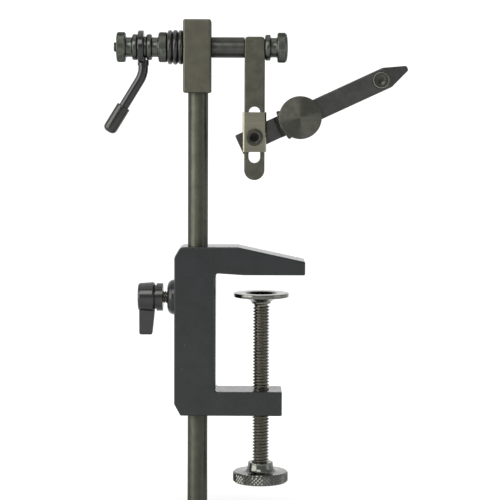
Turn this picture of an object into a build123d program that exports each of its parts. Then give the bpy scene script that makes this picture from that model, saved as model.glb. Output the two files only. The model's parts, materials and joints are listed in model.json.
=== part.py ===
from build123d import *
import os
from math import asin, cos, radians, sin

# Clamp-on rotary fly tying vise, in millimetres.
# The origin is on the table seat under the upper clamp arm, on the clamp screw axis.
# Z is up, X points to the jaw tips, and the jaw knob faces minus Y.

# Fits
cut_overrun = 2.0
running_clearance = 0.05
seat_clearance = 0.02

# Stem
stem_diameter = 9.525
stem_length = 222.0
stem_throat = 30.2
stem_end_chamfer = 0.8
stem_seat_depth = 15.0

# Clamp body
clamp_depth = 20.0
clamp_outer_wall = 6.05
clamp_inner_wall = 3.9
clamp_throat_height = 55.4
upper_arm_thickness = 13.2
upper_arm_tip_thickness = 6.4
upper_arm_flat_run = 10.4
upper_arm_reach = 20.6
seat_relief_rise = 0.8
seat_relief_run = 13.0
lower_arm_thickness = 11.5
lower_arm_reach = 10.0
clamp_heel_run = 3.0
clamp_heel_rise = 5.5
clamp_crown_run = 2.9
clamp_crown_rise = 5.0
clamp_crown_radius = 3.0
clamp_corner_radius = 0.7
clamp_inner_radius = 1.1
clamp_edge_radius = 0.6
clamp_throat_edge_radius = 2.2
lock_boss_diameter = 16.7
lock_boss_height = 3.5
lock_boss_edge_radius = 3.0

# Clamp screw and pad
screw_diameter = 8.0
screw_spigot_diameter = 5.0
screw_rivet_diameter = 8.0
screw_rivet_height = 1.1
pad_diameter = 26.3
pad_top_drop = 9.2
pad_rim_thickness = 1.9
pad_height = 5.0
pad_web_thickness = 1.6
pad_neck_diameter = 9.0
pad_dish_diameter = 11.6
pad_dish_flare_diameter = 15.0
pad_rim_round = 0.6

# Thumbwheel
wheel_diameter = 26.5
wheel_thickness = 5.0
wheel_edge_chamfer = 0.7
wheel_hub_height = 4.4
wheel_hub_top_diameter = 12.0
wheel_hub_foot_diameter = 16.4
wheel_floor = 1.6
wheel_drop = 100.0

# Stem lock knob
lock_axis_drop = 11.4
lock_thread_diameter = 6.0
lock_knob_gap = 2.1
lock_collar_diameter = 13.3
lock_collar_length = 3.0
lock_groove_diameter = 11.6
lock_groove_width = 0.8
lock_body_diameter = 14.4
lock_body_end_diameter = 13.2
lock_body_length = 8.1
lock_body_edge_radius = 1.2
lock_wing_length = 18.0
lock_wing_root_width = 8.1
lock_wing_tip_width = 6.2
lock_wing_root_depth = 6.4
lock_wing_tip_depth = 3.8
lock_wing_end_radius = 1.2
lock_wing_inset = 0.6
lock_stud_end_wall = 2.5

# Head block and bush
head_width = 13.1
head_offset = -0.4
head_depth = 16.0
head_base_height = 85.4
head_axis_rise = 21.4
head_axis_to_top = 12.9
head_edge_radius = 1.0
bush_diameter = 10.0

# Rotary shaft
journal_diameter = 8.0
collar_diameter = 9.7
collar_length = 15.65
collar_edge_chamfer = 0.4
stud_diameter = 5.0
stud_tip_length = 1.4
stud_tip_chamfer = 0.5

# Brake rings
brake_ring_section = 2.5
brake_ring_bore = 11.2
brake_ring_count = 3
spigot_end_gap = 0.8
spigot_ring_gap = 0.15

# Knurled knobs
knob_disc_diameter = 14.2
knob_disc_thickness = 4.1
knob_neck_diameter = 9.2
knob_neck_length = 3.2
knob_flange_diameter = 12.2
knob_flange_thickness = 2.6
knob_edge_chamfer = 0.6
knob_dome_height = 0.95
knob_blind_wall = 1.6

# Crank
crank_washer_diameter = 10.0
crank_washer_thickness = 1.0
crank_eye_diameter = 15.8
crank_eye_thickness = 2.9
crank_eye_edge_radius = 0.7
crank_rod_diameter = 4.7
crank_rod_inset = 2.45
crank_lug_wall = 0.35
crank_lug_gap = 0.2
crank_lug_rise = 1.6
crank_lug_length = 2.3
crank_drop = 12.8
crank_bend_radius = 12.0
crank_slope = 31.5
crank_rod_run = 17.6
grip_diameter = 6.7
grip_length = 14.1
grip_end_wall = 2.9
grip_end_radius = 2.4
grip_lip_chamfer = 0.4

# Swing arm
arm_width = 9.6
arm_depth = 10.0
arm_rise = 5.0
arm_length = 67.2
arm_top_radius = 1.8
arm_edge_chamfer = 0.45
arm_lap_drop = 19.5
slot_width = 5.4
slot_top_drop = 27.75
slot_end_margin = 7.95
slot_length = arm_length - arm_rise - slot_top_drop - slot_end_margin

# Slide bracket and its screw
bracket_thickness = 0.75
bracket_height = 18.7
bracket_rise = 11.8
bracket_wrap = 3.6
bracket_bend_radius = 1.1
cap_head_diameter = 8.0
cap_head_height = 4.0
cap_head_chamfer = 0.5
cap_socket_flats = 4.0
cap_socket_depth = 2.4
cap_shank_diameter = 5.0

# Jaws, measured along the jaw from the pivot
jaw_angle = 24.9
jaw_pivot_drop = 42.1
jaw_pivot_offset = 0.5
jaw_width = 10.0
jaw_thickness = 4.5
jaw_gap = 2.0
jaw_tail_length = 8.1
jaw_tip_reach = 79.1
jaw_taper_length = 10.8
jaw_tip_width = 2.3
jaw_tip_radius = 1.2
jaw_tip_thickness = 1.3
jaw_grip_length = 9.5
jaw_grip_gap = 0.2
jaw_corner_chamfer = 0.4
jaw_edge_chamfer = 0.3
front_tail_reach = 11.8
front_tail_chamfer = 2.1

# Jaw knob
jaw_knob_reach = 23.3
jaw_knob_diameter = 20.1
jaw_knob_thickness = 4.2
jaw_knob_cone_height = 0.7
jaw_knob_edge_chamfer = 0.6
jaw_knob_hub_diameter = 9.6
jaw_knob_hub_gap = 0.4
jaw_knob_hub_height = 2.4
jaw_screw_diameter = 5.0
jaw_screw_clearance = 0.25

# Jaw adjusting screw
adjust_setback = 13.9
adjust_reach = jaw_tip_reach - adjust_setback
adjust_recess_diameter = 8.25
adjust_recess_depth = 3.2
adjust_head_diameter = 7.9
adjust_head_height = 2.8
adjust_head_chamfer = 0.3
adjust_seat_gap = 0.15
adjust_shank_diameter = 4.0
adjust_shank_clearance = 0.3
adjust_socket_flats = 3.0
adjust_socket_depth = 1.6

# Jaw ring
jaw_ring_reach = 15.1
jaw_ring_section = 2.1
jaw_ring_bend_radius = 0.25
jaw_ring_gap = 0.1

# Places along X
stem_x = -stem_throat
stem_radius = stem_diameter / 2
bore_radius = stem_radius + running_clearance
clamp_outer_x = stem_x - bore_radius - clamp_outer_wall
clamp_inner_x = stem_x + bore_radius + clamp_inner_wall
head_x = stem_x + head_offset
head_left_x = head_x - head_width / 2
head_right_x = head_x + head_width / 2
ring_pitch = brake_ring_section + seat_clearance
ring_pack = brake_ring_count * ring_pitch + seat_clearance
knob_length = knob_flange_thickness + knob_neck_length + knob_disc_thickness
drag_disc_x = head_left_x - ring_pack
drag_flange_x = drag_disc_x - knob_length
washer_x = drag_flange_x - seat_clearance - crank_washer_thickness
eye_right_x = washer_x - seat_clearance
eye_left_x = eye_right_x - crank_eye_thickness
lock_flange_x = eye_left_x - seat_clearance
stud_left_x = lock_flange_x - knob_length - stud_tip_length
arm_left_x = head_right_x + seat_clearance + collar_length
arm_right_x = arm_left_x + arm_width
arm_x = arm_left_x + arm_width / 2
arm_flange_x = arm_right_x + seat_clearance
stud_right_x = arm_flange_x + knob_length - knob_blind_wall

# Places along Z
shaft_z = head_base_height + head_axis_rise
stem_top_z = head_base_height + stem_seat_depth
stem_bottom_z = stem_top_z - stem_length
lower_top_z = -clamp_throat_height
clamp_bottom_z = lower_top_z - lower_arm_thickness
pad_bottom_z = -pad_top_drop - pad_height
wheel_bottom_z = -wheel_drop
wheel_top_z = wheel_bottom_z + wheel_thickness
pivot_z = shaft_z - jaw_pivot_drop
from_base = (Align.CENTER, Align.CENTER, Align.MIN)


def bar_x(radius, x_start, x_end, z):
    """A round bar along X at height z."""
    return Pos(x_start, 0, z) * Rot(0, 90, 0) * Cylinder(radius, x_end - x_start, align=from_base)


def bar_z(radius, z_start, z_end, x):
    """An upright round bar at x."""
    return Pos(x, 0, z_start) * Cylinder(radius, z_end - z_start, align=from_base)


def turned_x(points, x, z):
    """A solid turned about X from points of distance along X and radius."""
    return Pos(x, 0, z) * revolve(make_face(Polyline(*points, close=True)), Axis.X)


def slab_xz(sketch, y_front, y_back):
    """A sketch drawn in X and Z, made solid from y_front to y_back."""
    return Pos(0, y_back, 0) * extrude(Plane.XZ * sketch, amount=y_back - y_front)


def slab_xy(sketch, z_low, z_high):
    """A sketch drawn in X and Y, made solid from z_low to z_high."""
    return Pos(0, 0, z_low) * extrude(sketch, amount=z_high - z_low)


def hexagon(flats):
    """A hexagon with the given width across its flats."""
    return RegularPolygon(flats / 2, 6, major_radius=False)


def clamp_outline():
    """Side view of the clamp casting, in X and Z."""
    slope_x = clamp_inner_x + upper_arm_flat_run
    seat_x = clamp_inner_x + seat_relief_run
    heel_x = clamp_outer_x + clamp_heel_run
    heel_z = clamp_bottom_z + clamp_heel_rise
    crown_x = clamp_outer_x + clamp_crown_run
    crown_z = upper_arm_thickness - clamp_crown_rise
    outline = make_face(
        Polyline(
            (clamp_outer_x, heel_z),
            (clamp_outer_x, crown_z),
            (crown_x, upper_arm_thickness),
            (slope_x, upper_arm_thickness),
            (upper_arm_reach, upper_arm_tip_thickness),
            (upper_arm_reach, 0),
            (seat_x, 0),
            (clamp_inner_x, seat_relief_rise),
            (clamp_inner_x, lower_top_z),
            (lower_arm_reach, lower_top_z),
            (lower_arm_reach, clamp_bottom_z),
            (heel_x, clamp_bottom_z),
            close=True,
        )
    )
    corners = outline.vertices()
    crown_places = [(clamp_outer_x, crown_z), (crown_x, upper_arm_thickness)]
    crown = [corners.sort_by_distance(place)[0] for place in crown_places]
    inner = [corners.sort_by_distance((clamp_inner_x, z))[0] for z in (seat_relief_rise, lower_top_z)]
    outer_places = [
        (clamp_outer_x, heel_z),
        (upper_arm_reach, upper_arm_tip_thickness),
        (upper_arm_reach, 0),
        (lower_arm_reach, lower_top_z),
        (lower_arm_reach, clamp_bottom_z),
        (heel_x, clamp_bottom_z),
    ]
    outer = [corners.sort_by_distance(place)[0] for place in outer_places]
    outline = fillet(crown, clamp_crown_radius)
    outline = fillet(matching(outline, inner), clamp_inner_radius)
    return fillet(matching(outline, outer), clamp_corner_radius)


def matching(sketch, corners):
    """The corners of a sketch that lie where the given ones do."""
    return [sketch.vertices().sort_by_distance(corner.center())[0] for corner in corners]


def throat_edge(side):
    """The corner that is taken off one upright edge of the throat, to leave it round."""
    radius = clamp_throat_edge_radius
    edge = Pos(clamp_inner_x, side * clamp_depth / 2) * Rectangle(2 * radius, 2 * radius)
    kept = Pos(clamp_inner_x - radius, side * (clamp_depth / 2 - radius)) * Circle(radius)
    inside = Pos(clamp_inner_x - radius, side * (clamp_depth / 2 - radius))
    corner = edge - kept - inside * Rectangle(2 * radius, 2 * radius, align=(Align.MAX, Align.CENTER))
    return slab_xy(corner, lower_top_z + clamp_inner_radius, -clamp_inner_radius)


def make_clamp_body():
    """C-shaped casting with the stem bore, the screw bore and the lock boss."""
    body = slab_xz(clamp_outline(), -clamp_depth / 2, clamp_depth / 2)
    rims = body.faces().filter_by(Axis.Y).edges()
    body = fillet(rims, clamp_edge_radius)
    for side in (-1, 1):
        body -= throat_edge(side)
    boss = bar_x(lock_boss_diameter / 2, clamp_outer_x - lock_boss_height, clamp_outer_x, -lock_axis_drop)
    boss_rim = boss.faces().sort_by(Axis.X)[0].edges()
    body += fillet(boss_rim, lock_boss_edge_radius)
    stem_bore = bar_z(bore_radius, clamp_bottom_z - cut_overrun, upper_arm_thickness + cut_overrun, stem_x)
    screw_bore = bar_z(
        screw_diameter / 2 + running_clearance, clamp_bottom_z - cut_overrun, lower_top_z + cut_overrun, 0
    )
    lock_bore = bar_x(
        lock_thread_diameter / 2 + running_clearance,
        clamp_outer_x - lock_boss_height - cut_overrun,
        stem_x,
        -lock_axis_drop,
    )
    return body - stem_bore - screw_bore - lock_bore


def make_clamp_screw():
    """Screw from the wheel to the pad, with its spigot riveted over in the dish."""
    shoulder_z = pad_bottom_z - running_clearance
    rivet_z = pad_bottom_z + pad_web_thickness + running_clearance
    screw = bar_z(screw_diameter / 2, wheel_bottom_z + wheel_floor, shoulder_z, 0)
    screw += bar_z(screw_spigot_diameter / 2, shoulder_z, rivet_z, 0)
    rivet = bar_z(screw_rivet_diameter / 2, rivet_z, rivet_z + screw_rivet_height, 0)
    return screw + fillet(rivet.faces().sort_by(Axis.Z)[-1].edges(), screw_rivet_height / 2)


def make_clamp_pad():
    """Dished pad with a trumpet underside, free to turn on the spigot."""
    rim_radius = pad_diameter / 2
    neck_radius = pad_neck_diameter / 2
    rim_z = -pad_top_drop - pad_rim_thickness
    web_z = pad_bottom_z + pad_web_thickness
    underside = TangentArc((rim_radius, rim_z), (neck_radius, pad_bottom_z), tangent=(-1, 0))
    outline = make_face(
        [
            underside,
            Polyline(
                (rim_radius, rim_z),
                (rim_radius, -pad_top_drop),
                (pad_dish_flare_diameter / 2, -pad_top_drop),
                (pad_dish_diameter / 2, web_z),
                (screw_spigot_diameter / 2 + running_clearance, web_z),
                (screw_spigot_diameter / 2 + running_clearance, pad_bottom_z),
                (neck_radius, pad_bottom_z),
            ),
        ]
    )
    pad = revolve(Plane.XZ * outline, Axis.Z)
    rim = pad.faces().filter_by(GeomType.CYLINDER).sort_by(SortBy.RADIUS)[-1]
    return fillet(rim.edges().filter_by(GeomType.CIRCLE), pad_rim_round)


def make_clamp_thumbwheel():
    """Wheel with a hub that flares into its top face, blind at the foot."""
    rim_radius = wheel_diameter / 2
    edge = wheel_edge_chamfer
    hub_z = wheel_top_z + wheel_hub_height
    hub_foot = (wheel_hub_foot_diameter / 2, wheel_top_z)
    hub_top = (wheel_hub_top_diameter / 2, hub_z)
    flare = TangentArc(hub_top, hub_foot, tangent=(0, -1))
    outline = make_face(
        [
            flare,
            Polyline(
                hub_foot,
                (rim_radius - edge, wheel_top_z),
                (rim_radius, wheel_top_z - edge),
                (rim_radius, wheel_bottom_z + edge),
                (rim_radius - edge, wheel_bottom_z),
                (0, wheel_bottom_z),
                (0, hub_z),
                hub_top,
            ),
        ]
    )
    wheel = revolve(Plane.XZ * outline, Axis.Z)
    bore = bar_z(
        screw_diameter / 2 + seat_clearance,
        wheel_bottom_z + wheel_floor - seat_clearance,
        hub_z + cut_overrun,
        0,
    )
    return wheel - bore


lock_collar_x = clamp_outer_x - lock_boss_height - lock_knob_gap
lock_groove_x = lock_collar_x - lock_collar_length
lock_body_x = lock_groove_x - lock_groove_width
lock_end_x = lock_body_x - lock_body_length
lock_stud_x = lock_end_x + lock_stud_end_wall


def make_stem_lock_screw():
    """Stud from the knob to the stem, with a chamfered nose."""
    nose_x = stem_x - stem_radius - running_clearance
    stud = bar_x(lock_thread_diameter / 2, lock_stud_x, nose_x, -lock_axis_drop)
    return chamfer(stud.faces().sort_by(Axis.X)[-1].edges(), stud_tip_chamfer)


def make_stem_lock_knob():
    """Lever knob: round body, collar and one tapered wing that points down."""
    z = -lock_axis_drop
    body = Pos(lock_body_x, 0, z) * Rot(0, -90, 0) * Cone(
        lock_body_diameter / 2, lock_body_end_diameter / 2, lock_body_length, align=from_base
    )
    body = fillet(body.faces().filter_by(Axis.X).edges(), lock_body_edge_radius)
    collar = bar_x(lock_collar_diameter / 2, lock_groove_x, lock_collar_x, z)
    groove = bar_x(lock_groove_diameter / 2, lock_body_x - lock_body_edge_radius, lock_groove_x, z)
    wing_x = lock_end_x + lock_wing_inset
    root = Pos(wing_x + lock_wing_root_width / 2, 0) * Rectangle(lock_wing_root_width, lock_wing_root_depth)
    tip = Pos(wing_x + lock_wing_tip_width / 2, 0) * Rectangle(lock_wing_tip_width, lock_wing_tip_depth)
    wing = loft([Pos(0, 0, z) * root, Pos(0, 0, z - lock_wing_length) * tip], ruled=True)
    wing_end = wing.faces().sort_by(Axis.Z)[0].edges()
    knob = body + groove + collar + fillet(wing_end, lock_wing_end_radius)
    bore = bar_x(
        lock_thread_diameter / 2 + seat_clearance,
        lock_stud_x - seat_clearance,
        lock_collar_x + cut_overrun,
        z,
    )
    return knob - bore


def make_stem():
    """Round bar with chamfered ends."""
    bar = bar_z(stem_radius, stem_bottom_z, stem_top_z, stem_x)
    return chamfer(bar.faces().filter_by(Axis.Z).edges(), stem_end_chamfer)


def make_head_block():
    """Rounded block with the stem socket below and the bush bore across."""
    height = head_axis_rise + head_axis_to_top
    block = Pos(head_x, 0, head_base_height) * Box(head_width, head_depth, height, align=from_base)
    block = fillet(block.edges(), head_edge_radius)
    socket = bar_z(bore_radius, head_base_height - cut_overrun, stem_top_z + running_clearance, stem_x)
    bush_bore = bar_x(
        bush_diameter / 2 + seat_clearance, head_left_x - cut_overrun, head_right_x + cut_overrun, shaft_z
    )
    return block - socket - bush_bore


def make_shaft_bush():
    """Plain bush, flush with both sides of the head block."""
    bush = bar_x(bush_diameter / 2, head_left_x, head_right_x, shaft_z)
    bore = bar_x(
        journal_diameter / 2 + running_clearance, head_left_x - cut_overrun, head_right_x + cut_overrun, shaft_z
    )
    return bush - bore


def make_rotary_shaft():
    """Journal, collar and the two threaded ends, turned from one bar."""
    stud = stud_diameter / 2
    tip = stud_tip_chamfer
    collar = collar_diameter / 2
    edge = collar_edge_chamfer
    collar_x = head_right_x + seat_clearance
    points = [
        (stud_left_x, 0),
        (stud_left_x, stud - tip),
        (stud_left_x + tip, stud),
        (head_left_x, stud),
        (head_left_x, journal_diameter / 2),
        (collar_x, journal_diameter / 2),
        (collar_x, collar - edge),
        (collar_x + edge, collar),
        (arm_left_x - edge, collar),
        (arm_left_x, collar - edge),
        (arm_left_x, stud),
        (stud_right_x - tip, stud),
        (stud_right_x, stud - tip),
        (stud_right_x, 0),
    ]
    return turned_x(points, 0, shaft_z)


def make_brake_ring(index):
    """One rubber ring of the brake, counted from the head block."""
    centre_x = head_left_x - seat_clearance - brake_ring_section / 2 - index * ring_pitch
    section_radius = brake_ring_section / 2
    ring_radius = brake_ring_bore / 2 + section_radius
    return Pos(centre_x, 0, shaft_z) * Rot(0, 90, 0) * Torus(ring_radius, section_radius)


def knob_points():
    """Half section of a knurled knob, from its bearing flange to its disc."""
    edge = knob_edge_chamfer
    flange = knob_flange_diameter / 2
    neck = knob_neck_diameter / 2
    disc = knob_disc_diameter / 2
    disc_x = knob_flange_thickness + knob_neck_length
    return [
        (0, 0),
        (0, flange - edge),
        (edge, flange),
        (knob_flange_thickness - edge, flange),
        (knob_flange_thickness, flange - edge),
        (knob_flange_thickness, neck),
        (disc_x, neck),
        (disc_x, disc - edge),
        (disc_x + edge, disc),
        (knob_length - edge, disc),
        (knob_length, disc - edge),
        (knob_length, 0),
    ]


def mirrored_points(points):
    """The same half section, pointing along minus X."""
    return [(-x, radius) for x, radius in points]


def make_drag_knob():
    """Knob whose disc faces the head block, with a spigot that carries the rings."""
    knob = turned_x(knob_points(), drag_flange_x, shaft_z)
    spigot_radius = brake_ring_bore / 2 - spigot_ring_gap
    knob += bar_x(spigot_radius, drag_disc_x, head_left_x - spigot_end_gap, shaft_z)
    return knob - stud_hole(drag_flange_x - cut_overrun, head_left_x + cut_overrun)


def make_crank_lock_knob():
    """Knob at the crank end, with the stud showing through its face."""
    knob = turned_x(mirrored_points(knob_points()), lock_flange_x, shaft_z)
    return knob - stud_hole(stud_left_x - cut_overrun, lock_flange_x + cut_overrun)


def make_arm_lock_knob():
    """Knob at the jaw end, closed by a domed face."""
    knob = turned_x(knob_points(), arm_flange_x, shaft_z)
    face_radius = knob_disc_diameter / 2 - knob_edge_chamfer
    dome_radius = (face_radius**2 + knob_dome_height**2) / (2 * knob_dome_height)
    half_turn = asin(face_radius / dome_radius) / 2
    centre_x = knob_length + knob_dome_height - dome_radius
    crest = (centre_x + dome_radius, 0)
    middle = (centre_x + dome_radius * cos(half_turn), dome_radius * sin(half_turn))
    arc = ThreePointArc((knob_length, face_radius), middle, crest)
    base = Polyline(crest, (knob_length, 0), (knob_length, face_radius))
    knob += Pos(arm_flange_x, 0, shaft_z) * revolve(make_face([arc, base]), Axis.X)
    return knob - stud_hole(arm_flange_x - cut_overrun, stud_right_x + running_clearance)


def stud_hole(x_start, x_end):
    """Hole for the threaded end of the shaft."""
    return bar_x(stud_diameter / 2 + running_clearance, x_start, x_end, shaft_z)


def make_crank_washer():
    """Plain washer between the drag knob and the crank eye."""
    washer = bar_x(crank_washer_diameter / 2, washer_x, washer_x + crank_washer_thickness, shaft_z)
    return washer - stud_hole(washer_x - cut_overrun, drag_flange_x)


rod_x = eye_left_x + crank_rod_inset
rod_radius = crank_rod_diameter / 2
lug_cut_radius = knob_flange_diameter / 2 + crank_lug_gap
lug_foot_z = shaft_z - lug_cut_radius - crank_lug_length
lug_top_z = shaft_z - lug_cut_radius + crank_lug_rise
bend_z = shaft_z - crank_drop
slope_dx = -sin(radians(crank_slope))
slope_dz = -cos(radians(crank_slope))


def slope_point(distance):
    """A point on the sloping part of the crank rod, measured from the bend's corner."""
    return rod_x + distance * slope_dx, 0, bend_z + distance * slope_dz


def make_crank_arm():
    """Flat eye with a short lug, and a rod that bends away from the head."""
    eye = bar_x(crank_eye_diameter / 2, eye_left_x, eye_right_x, shaft_z)
    eye = fillet(eye.faces().filter_by(Axis.X).edges(), crank_eye_edge_radius)
    lug = bar_z(rod_radius + crank_lug_wall, lug_foot_z, lug_top_z, rod_x)
    lug -= bar_x(lug_cut_radius, eye_left_x - crank_rod_diameter, eye_left_x, shaft_z)
    lug -= bar_x(crank_washer_diameter / 2 + crank_lug_gap, eye_right_x, drag_flange_x, shaft_z)
    lug -= bar_x(lug_cut_radius, drag_flange_x - crank_lug_gap, eye_right_x + crank_rod_diameter, shaft_z)
    rod_top = (rod_x, 0, lug_foot_z + crank_lug_wall)
    rod_end = slope_point(crank_rod_run + grip_length - grip_end_wall)
    path = FilletPolyline(rod_top, (rod_x, 0, bend_z), rod_end, radius=crank_bend_radius)
    rod = sweep(Pos(*rod_top) * Circle(rod_radius), path)
    return eye + lug + rod - stud_hole(eye_left_x - cut_overrun, eye_right_x + cut_overrun)


def make_crank_grip():
    """Closed sleeve over the end of the rod."""
    frame = Plane(origin=slope_point(crank_rod_run), x_dir=(0, 1, 0), z_dir=(slope_dx, 0, slope_dz))
    sleeve = Cylinder(grip_diameter / 2, grip_length, align=from_base)
    sleeve = fillet(sleeve.faces().sort_by(Axis.Z)[-1].edges(), grip_end_radius)
    sleeve = chamfer(sleeve.faces().sort_by(Axis.Z)[0].edges(), grip_lip_chamfer)
    depth = grip_length - grip_end_wall + seat_clearance
    bore = Pos(0, 0, -cut_overrun) * Cylinder(rod_radius + seat_clearance, depth + cut_overrun, align=from_base)
    return frame.location * (sleeve - bore)


arm_front_y = -arm_depth / 2
lap_y = jaw_gap / 2
arm_top_z = shaft_z + arm_rise


def make_swing_arm():
    """Slotted arm, half lapped at the back so that the jaws close on the shaft axis."""
    end_radius = arm_width / 2
    bottom_z = arm_top_z - arm_length
    flank = Pos(arm_x, (arm_top_z + bottom_z + end_radius) / 2) * Rectangle(
        arm_width, arm_top_z - bottom_z - end_radius
    )
    flank = fillet(flank.vertices().group_by(Axis.Y)[-1], arm_top_radius)
    slot_z = shaft_z - slot_top_drop - slot_length / 2
    slot = Pos(arm_x, slot_z) * Rot(0, 0, 90) * SlotOverall(slot_length, slot_width)
    outline = flank + Pos(arm_x, bottom_z + end_radius) * Circle(end_radius)
    arm = slab_xz(outline, arm_front_y, arm_depth / 2)
    arm = chamfer(arm.faces().sort_by(Axis.Y)[0].edges(), arm_edge_chamfer)
    lap_top_z = shaft_z - arm_lap_drop
    lap = Pos(arm_x, lap_y, lap_top_z) * Box(
        arm_width + cut_overrun, arm_depth, arm_length, align=(Align.CENTER, Align.MIN, Align.MAX)
    )
    stud_bore = stud_hole(arm_left_x - cut_overrun, arm_right_x + cut_overrun)
    return arm - lap - slab_xz(slot, arm_front_y - cut_overrun, arm_depth) - stud_bore


bracket_back_y = arm_front_y - running_clearance
bracket_front_y = bracket_back_y - bracket_thickness


def make_slide_bracket():
    """Bent clip across the front of the arm, with a cheek along each side."""
    inner_width = arm_width + 2 * running_clearance
    outer_width = inner_width + 2 * bracket_thickness
    outer = Pos(arm_x, bracket_front_y, pivot_z + bracket_rise) * Box(
        outer_width,
        bracket_thickness + bracket_wrap,
        bracket_height,
        align=(Align.CENTER, Align.MIN, Align.MAX),
    )
    bends = outer.edges().filter_by(Axis.Z).group_by(Axis.Y)[0]
    outer = fillet(bends, bracket_bend_radius)
    inner = Pos(arm_x, bracket_back_y, pivot_z + bracket_rise + cut_overrun) * Box(
        inner_width,
        bracket_wrap + cut_overrun,
        bracket_height + 2 * cut_overrun,
        align=(Align.CENTER, Align.MIN, Align.MAX),
    )
    hole = cap_bar(cap_shank_diameter / 2 + seat_clearance, bracket_front_y - cut_overrun, arm_front_y)
    return outer - inner - hole


def cap_bar(radius, y_front, y_back):
    """A round bar on the jaw pivot axis."""
    return Pos(arm_x, y_back, pivot_z) * Rot(90, 0, 0) * Cylinder(radius, y_back - y_front, align=from_base)


def make_jaw_clamp_screw():
    """Socket screw on the pivot axis, through the bracket and the slot into the rear jaw."""
    head_back_y = bracket_front_y - seat_clearance
    head = cap_bar(cap_head_diameter / 2, head_back_y - cap_head_height, head_back_y)
    head = chamfer(head.faces().sort_by(Axis.Y)[0].edges(), cap_head_chamfer)
    shank = cap_bar(cap_shank_diameter / 2, head_back_y, lap_y + jaw_thickness)
    socket_y = head_back_y - cap_head_height
    socket = Pos(arm_x, pivot_z) * hexagon(cap_socket_flats)
    return head + shank - slab_xz(socket, socket_y - cut_overrun, socket_y + cap_socket_depth)


# The jaw frame lies on the pivot: along the jaw, across it, and out towards the knob
jaw_frame = Plane(
    origin=(arm_x, 0, pivot_z),
    x_dir=(cos(radians(jaw_angle)), 0, sin(radians(jaw_angle))),
    z_dir=(0, -1, 0),
)
jaw_inner = jaw_gap / 2
jaw_outer = jaw_inner + jaw_thickness


def jaw_outline(tail):
    """Side view of a jaw from its tail to the rounded tip."""
    half = jaw_width / 2
    taper_start = jaw_tip_reach - jaw_taper_length
    outline = make_face(
        Polyline(
            (tail, -half),
            (taper_start, -half),
            (jaw_tip_reach, -jaw_tip_width / 2),
            (jaw_tip_reach, jaw_tip_width / 2),
            (taper_start, half),
            (tail, half),
            close=True,
        )
    )
    outline = fillet(outline.vertices().group_by(Axis.X)[-1], jaw_tip_radius)
    return Pos(0, -jaw_pivot_offset) * chamfer(
        outline.vertices().group_by(Axis.X)[0], jaw_corner_chamfer
    )


def jaw_blank(tail):
    """A jaw on the knob side, relieved behind its grip and thinned to the tip."""
    blank = slab_xy(jaw_outline(tail), jaw_grip_gap / 2, jaw_outer)
    blank = chamfer(blank.faces().sort_by(Axis.Z)[-1].edges(), jaw_edge_chamfer)
    grip_start = jaw_tip_reach - jaw_grip_length
    relief = Pos(grip_start, 0, jaw_inner) * Box(
        grip_start - tail + cut_overrun,
        jaw_width + 2 * cut_overrun,
        jaw_thickness,
        align=(Align.MAX, Align.CENTER, Align.MAX),
    )
    thin_start = jaw_tip_reach - jaw_taper_length
    slope = (jaw_outer - jaw_tip_thickness) / jaw_taper_length
    wedge = make_face(
        Polyline(
            (thin_start, jaw_outer),
            (jaw_tip_reach + cut_overrun, jaw_tip_thickness - slope * cut_overrun),
            (jaw_tip_reach + cut_overrun, jaw_outer + cut_overrun),
            (thin_start, jaw_outer + cut_overrun),
            close=True,
        )
    )
    return blank - relief - slab_xz(wedge, -jaw_width, jaw_width)


def jaw_bar(radius, reach, low, high):
    """A round bar across the jaws, on their middle line unless it is the pivot."""
    offset = -jaw_pivot_offset if reach else 0
    return Pos(reach, offset, low) * Cylinder(radius, high - low, align=from_base)


def make_rear_jaw():
    """Fixed jaw, with the pivot hole in its tail and the tapped hole near its tip."""
    jaw = mirror(jaw_blank(-jaw_tail_length), Plane.XY)
    low = -jaw_outer - cut_overrun
    jaw -= jaw_bar(cap_shank_diameter / 2 + running_clearance, 0, low, 0)
    jaw -= jaw_bar(adjust_shank_diameter / 2 + seat_clearance, adjust_reach, low, 0)
    return jaw_frame.location * jaw


def make_front_jaw():
    """Rocking jaw, with the knob's hole, the screw's recess and a bevelled tail."""
    jaw = jaw_blank(front_tail_reach)
    high = jaw_outer + cut_overrun
    bevel = make_face(
        Polyline(
            (front_tail_reach - cut_overrun, jaw_outer - front_tail_chamfer - cut_overrun),
            (front_tail_reach + front_tail_chamfer + cut_overrun, high),
            (front_tail_reach - cut_overrun, high),
            close=True,
        )
    )
    jaw -= slab_xz(bevel, -jaw_width, jaw_width)
    jaw -= jaw_bar(jaw_screw_diameter / 2 + jaw_screw_clearance, jaw_knob_reach, 0, high)
    jaw -= jaw_bar(adjust_shank_diameter / 2 + adjust_shank_clearance, adjust_reach, 0, high)
    jaw -= jaw_bar(adjust_recess_diameter / 2, adjust_reach, jaw_outer - adjust_recess_depth, high)
    return jaw_frame.location * jaw


def make_jaw_knob():
    """Turned disc with a coned face on the closing screw, whose end bears on the rear jaw."""
    hub_low = jaw_outer + jaw_knob_hub_gap
    disc_low = hub_low + jaw_knob_hub_height
    disc_high = disc_low + jaw_knob_thickness
    disc = jaw_knob_diameter / 2
    hub = jaw_knob_hub_diameter / 2
    screw = jaw_screw_diameter / 2
    edge = jaw_knob_edge_chamfer
    outline = make_face(
        Polyline(
            (0, -jaw_inner + running_clearance),
            (screw, -jaw_inner + running_clearance),
            (screw, hub_low),
            (hub, hub_low),
            (hub, disc_low),
            (disc - edge, disc_low),
            (disc, disc_low + edge),
            (disc, disc_high - edge),
            (disc - edge, disc_high),
            (0, disc_high + jaw_knob_cone_height),
            close=True,
        )
    )
    knob = Pos(jaw_knob_reach, -jaw_pivot_offset, 0) * revolve(Plane.XZ * outline, Axis.Z)
    return jaw_frame.location * knob


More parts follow.
